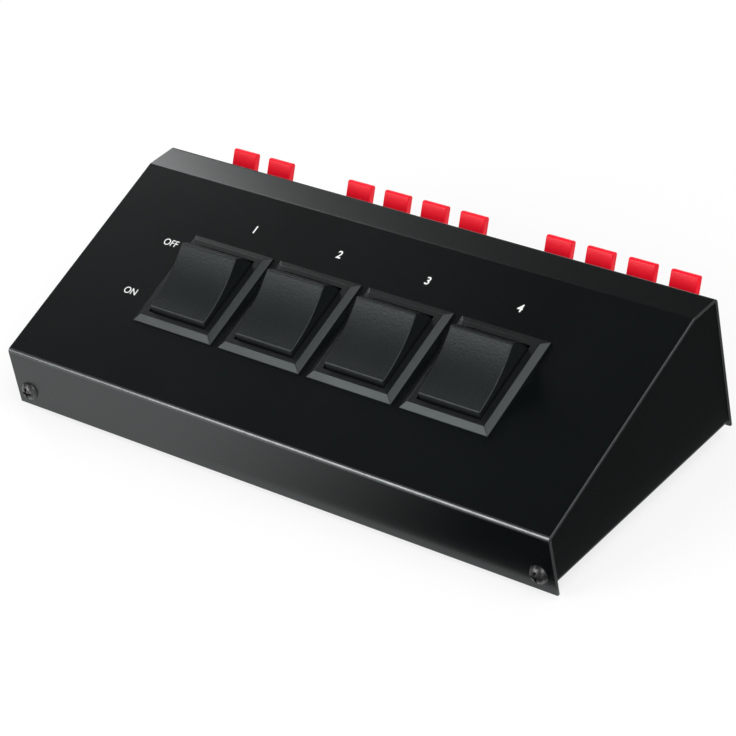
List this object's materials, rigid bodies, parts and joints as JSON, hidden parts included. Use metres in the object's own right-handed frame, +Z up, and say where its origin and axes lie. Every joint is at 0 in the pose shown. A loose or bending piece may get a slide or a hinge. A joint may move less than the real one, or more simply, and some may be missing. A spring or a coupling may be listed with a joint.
{
  "type": "speaker selector switch",
  "caption": "Wedge-shaped steel speaker selector box with a row of rocker switches on its slope and red and black spring-lever wire terminals on its back.",
  "frame": {"origin": "middle of the footprint, front screw heads to rear lever tips, on the surface that the feet stand on", "axes": "+X to the right seen from the front, +Y from the front panel to the terminals, +Z up"},
  "size_m": [0.205, 0.0974, 0.0466],
  "materials": {
    "black_paint": "fine textured powder coat",
    "black_gloss_plastic": "satin moulded",
    "black_matte_plastic": "fine moulded texture",
    "terminal_plastic": "moulded",
    "red_plastic": "glossy moulded",
    "black_lever_plastic": "glossy moulded",
    "spring_steel": "bright",
    "brass": "bright",
    "screw_black": "black zinc",
    "rivet_aluminium": "satin",
    "foot_rubber": "matt",
    "wire_red": "extruded",
    "wire_black": "extruded",
    "nylon": "natural"
  },
  "bodies": {
    "case": {"wrap_cover": "black_paint", "base_tray": "black_paint", "rubber_feet": "foot_rubber", "case_screws": "screw_black", "switch_housing_1": "black_gloss_plastic", "switch_housing_2": "black_gloss_plastic", "switch_housing_3": "black_gloss_plastic", "switch_housing_4": "black_gloss_plastic", "common_lugs": "brass", "switched_lugs": "brass", "terminal_block_input": "terminal_plastic", "contact_strips_input": "brass", "leaf_springs_input": "spring_steel", "terminal_block_speakers_1_2": "terminal_plastic", "contact_strips_speakers_1_2": "brass", "leaf_springs_speakers_1_2": "spring_steel", "terminal_block_speakers_3_4": "terminal_plastic", "contact_strips_speakers_3_4": "brass", "leaf_springs_speakers_3_4": "spring_steel", "block_rivets": "rivet_aluminium", "switched_wires": "wire_red", "feed_wires": "wire_red", "return_wires": "wire_black"},
    "rocker_1": {"rocker_1": "black_matte_plastic", "plungers_1": "nylon", "plunger_springs_1": "spring_steel"},
    "blades_1": {"contact_blades_1": "brass"},
    "rocker_2": {"rocker_2": "black_matte_plastic", "plungers_2": "nylon", "plunger_springs_2": "spring_steel"},
    "blades_2": {"contact_blades_2": "brass"},
    "rocker_3": {"rocker_3": "black_matte_plastic", "plungers_3": "nylon", "plunger_springs_3": "spring_steel"},
    "blades_3": {"contact_blades_3": "brass"},
    "rocker_4": {"rocker_4": "black_matte_plastic", "plungers_4": "nylon", "plunger_springs_4": "spring_steel"},
    "blades_4": {"contact_blades_4": "brass"},
    "red_lever_1": {"red_lever_1": "red_plastic"},
    "black_lever_1": {"black_lever_1": "black_lever_plastic"},
    "red_lever_2": {"red_lever_2": "red_plastic"},
    "black_lever_2": {"black_lever_2": "black_lever_plastic"},
    "red_lever_3": {"red_lever_3": "red_plastic"},
    "black_lever_3": {"black_lever_3": "black_lever_plastic"},
    "red_lever_4": {"red_lever_4": "red_plastic"},
    "black_lever_4": {"black_lever_4": "black_lever_plastic"},
    "red_lever_5": {"red_lever_5": "red_plastic"},
    "black_lever_5": {"black_lever_5": "black_lever_plastic"},
    "red_lever_6": {"red_lever_6": "red_plastic"},
    "black_lever_6": {"black_lever_6": "black_lever_plastic"},
    "red_lever_7": {"red_lever_7": "red_plastic"},
    "black_lever_7": {"black_lever_7": "black_lever_plastic"},
    "red_lever_8": {"red_lever_8": "red_plastic"},
    "black_lever_8": {"black_lever_8": "black_lever_plastic"},
    "red_lever_9": {"red_lever_9": "red_plastic"},
    "black_lever_9": {"black_lever_9": "black_lever_plastic"},
    "red_lever_10": {"red_lever_10": "red_plastic"},
    "black_lever_10": {"black_lever_10": "black_lever_plastic"}
  },
  "joints": [
    {"name": "rocker_1_rock", "type": "hinge", "parent": "case", "child": "rocker_1", "pos_m": [-0.05145, -0.00889, 0.03273], "axis": [-1, 0, 0], "range_deg": [0, 27.6]},
    {"name": "blades_1_tip", "type": "hinge", "parent": "case", "child": "blades_1", "pos_m": [-0.05145, -0.00547, 0.02323], "axis": [1, 0, 0], "range_deg": [0, 14]},
    {"name": "rocker_2_rock", "type": "hinge", "parent": "case", "child": "rocker_2", "pos_m": [-0.01715, -0.00889, 0.03273], "axis": [-1, 0, 0], "range_deg": [0, 27.6]},
    {"name": "blades_2_tip", "type": "hinge", "parent": "case", "child": "blades_2", "pos_m": [-0.01715, -0.00547, 0.02323], "axis": [1, 0, 0], "range_deg": [0, 14]},
    {"name": "rocker_3_rock", "type": "hinge", "parent": "case", "child": "rocker_3", "pos_m": [0.01715, -0.00889, 0.03273], "axis": [-1, 0, 0], "range_deg": [0, 27.6]},
    {"name": "blades_3_tip", "type": "hinge", "parent": "case", "child": "blades_3", "pos_m": [0.01715, -0.00547, 0.02323], "axis": [1, 0, 0], "range_deg": [0, 14]},
    {"name": "rocker_4_rock", "type": "hinge", "parent": "case", "child": "rocker_4", "pos_m": [0.05145, -0.00889, 0.03273], "axis": [-1, 0, 0], "range_deg": [0, 27.6]},
    {"name": "blades_4_tip", "type": "hinge", "parent": "case", "child": "blades_4", "pos_m": [0.05145, -0.00547, 0.02323], "axis": [1, 0, 0], "range_deg": [0, 14]},
    {"name": "red_lever_1_press", "type": "hinge", "parent": "case", "child": "red_lever_1", "pos_m": [-0.08195, 0.04178, 0.034], "axis": [-1, 0, 0], "range_deg": [0, 22], "stiffness_Nm_per_rad": 0.15, "springref_deg": -9.74, "deforming": ["leaf_springs_input"]},
    {"name": "black_lever_1_press", "type": "hinge", "parent": "case", "child": "black_lever_1", "pos_m": [-0.08195, 0.04178, 0.0188], "axis": [1, 0, 0], "range_deg": [0, 22], "stiffness_Nm_per_rad": 0.15, "springref_deg": -9.74, "deforming": ["leaf_springs_input"]},
    {"name": "red_lever_2_press", "type": "hinge", "parent": "case", "child": "red_lever_2", "pos_m": [-0.06735, 0.04178, 0.034], "axis": [-1, 0, 0], "range_deg": [0, 22], "stiffness_Nm_per_rad": 0.15, "springref_deg": -9.74, "deforming": ["leaf_springs_input"]},
    {"name": "black_lever_2_press", "type": "hinge", "parent": "case", "child": "black_lever_2", "pos_m": [-0.06735, 0.04178, 0.0188], "axis": [1, 0, 0], "range_deg": [0, 22], "stiffness_Nm_per_rad": 0.15, "springref_deg": -9.74, "deforming": ["leaf_springs_input"]},
    {"name": "red_lever_3_press", "type": "hinge", "parent": "case", "child": "red_lever_3", "pos_m": [-0.03495, 0.04178, 0.034], "axis": [-1, 0, 0], "range_deg": [0, 22], "stiffness_Nm_per_rad": 0.15, "springref_deg": -9.74, "deforming": ["leaf_springs_speakers_1_2"]},
    {"name": "black_lever_3_press", "type": "hinge", "parent": "case", "child": "black_lever_3", "pos_m": [-0.03495, 0.04178, 0.0188], "axis": [1, 0, 0], "range_deg": [0, 22], "stiffness_Nm_per_rad": 0.15, "springref_deg": -9.74, "deforming": ["leaf_springs_speakers_1_2"]},
    {"name": "red_lever_4_press", "type": "hinge", "parent": "case", "child": "red_lever_4", "pos_m": [-0.02035, 0.04178, 0.034], "axis": [-1, 0, 0], "range_deg": [0, 22], "stiffness_Nm_per_rad": 0.15, "springref_deg": -9.74, "deforming": ["leaf_springs_speakers_1_2"]},
    {"name": "black_lever_4_press", "type": "hinge", "parent": "case", "child": "black_lever_4", "pos_m": [-0.02035, 0.04178, 0.0188], "axis": [1, 0, 0], "range_deg": [0, 22], "stiffness_Nm_per_rad": 0.15, "springref_deg": -9.74, "deforming": ["leaf_springs_speakers_1_2"]},
    {"name": "red_lever_5_press", "type": "hinge", "parent": "case", "child": "red_lever_5", "pos_m": [-0.00575, 0.04178, 0.034], "axis": [-1, 0, 0], "range_deg": [0, 22], "stiffness_Nm_per_rad": 0.15, "springref_deg": -9.74, "deforming": ["leaf_springs_speakers_1_2"]},
    {"name": "black_lever_5_press", "type": "hinge", "parent": "case", "child": "black_lever_5", "pos_m": [-0.00575, 0.04178, 0.0188], "axis": [1, 0, 0], "range_deg": [0, 22], "stiffness_Nm_per_rad": 0.15, "springref_deg": -9.74, "deforming": ["leaf_springs_speakers_1_2"]},
    {"name": "red_lever_6_press", "type": "hinge", "parent": "case", "child": "red_lever_6", "pos_m": [0.00885, 0.04178, 0.034], "axis": [-1, 0, 0], "range_deg": [0, 22], "stiffness_Nm_per_rad": 0.15, "springref_deg": -9.74, "deforming": ["leaf_springs_speakers_1_2"]},
    {"name": "black_lever_6_press", "type": "hinge", "parent": "case", "child": "black_lever_6", "pos_m": [0.00885, 0.04178, 0.0188], "axis": [1, 0, 0], "range_deg": [0, 22], "stiffness_Nm_per_rad": 0.15, "springref_deg": -9.74, "deforming": ["leaf_springs_speakers_1_2"]},
    {"name": "red_lever_7_press", "type": "hinge", "parent": "case", "child": "red_lever_7", "pos_m": [0.04055, 0.04178, 0.034], "axis": [-1, 0, 0], "range_deg": [0, 22], "stiffness_Nm_per_rad": 0.15, "springref_deg": -9.74, "deforming": ["leaf_springs_speakers_3_4"]},
    {"name": "black_lever_7_press", "type": "hinge", "parent": "case", "child": "black_lever_7", "pos_m": [0.04055, 0.04178, 0.0188], "axis": [1, 0, 0], "range_deg": [0, 22], "stiffness_Nm_per_rad": 0.15, "springref_deg": -9.74, "deforming": ["leaf_springs_speakers_3_4"]},
    {"name": "red_lever_8_press", "type": "hinge", "parent": "case", "child": "red_lever_8", "pos_m": [0.05515, 0.04178, 0.034], "axis": [-1, 0, 0], "range_deg": [0, 22], "stiffness_Nm_per_rad": 0.15, "springref_deg": -9.74, "deforming": ["leaf_springs_speakers_3_4"]},
    {"name": "black_lever_8_press", "type": "hinge", "parent": "case", "child": "black_lever_8", "pos_m": [0.05515, 0.04178, 0.0188], "axis": [1, 0, 0], "range_deg": [0, 22], "stiffness_Nm_per_rad": 0.15, "springref_deg": -9.74, "deforming": ["leaf_springs_speakers_3_4"]},
    {"name": "red_lever_9_press", "type": "hinge", "parent": "case", "child": "red_lever_9", "pos_m": [0.06975, 0.04178, 0.034], "axis": [-1, 0, 0], "range_deg": [0, 22], "stiffness_Nm_per_rad": 0.15, "springref_deg": -9.74, "deforming": ["leaf_springs_speakers_3_4"]},
    {"name": "black_lever_9_press", "type": "hinge", "parent": "case", "child": "black_lever_9", "pos_m": [0.06975, 0.04178, 0.0188], "axis": [1, 0, 0], "range_deg": [0, 22], "stiffness_Nm_per_rad": 0.15, "springref_deg": -9.74, "deforming": ["leaf_springs_speakers_3_4"]},
    {"name": "red_lever_10_press", "type": "hinge", "parent": "case", "child": "red_lever_10", "pos_m": [0.08435, 0.04178, 0.034], "axis": [-1, 0, 0], "range_deg": [0, 22], "stiffness_Nm_per_rad": 0.15, "springref_deg": -9.74, "deforming": ["leaf_springs_speakers_3_4"]},
    {"name": "black_lever_10_press", "type": "hinge", "parent": "case", "child": "black_lever_10", "pos_m": [0.08435, 0.04178, 0.0188], "axis": [1, 0, 0], "range_deg": [0, 22], "stiffness_Nm_per_rad": 0.15, "springref_deg": -9.74, "deforming": ["leaf_springs_speakers_3_4"]}
  ],
  "couplings": [
    {"joint": "blades_1_tip", "follows": "rocker_1_rock", "ratio": 0.50725},
    {"joint": "blades_2_tip", "follows": "rocker_2_rock", "ratio": 0.50725},
    {"joint": "blades_3_tip", "follows": "rocker_3_rock", "ratio": 0.50725},
    {"joint": "blades_4_tip", "follows": "rocker_4_rock", "ratio": 0.50725}
  ]
}
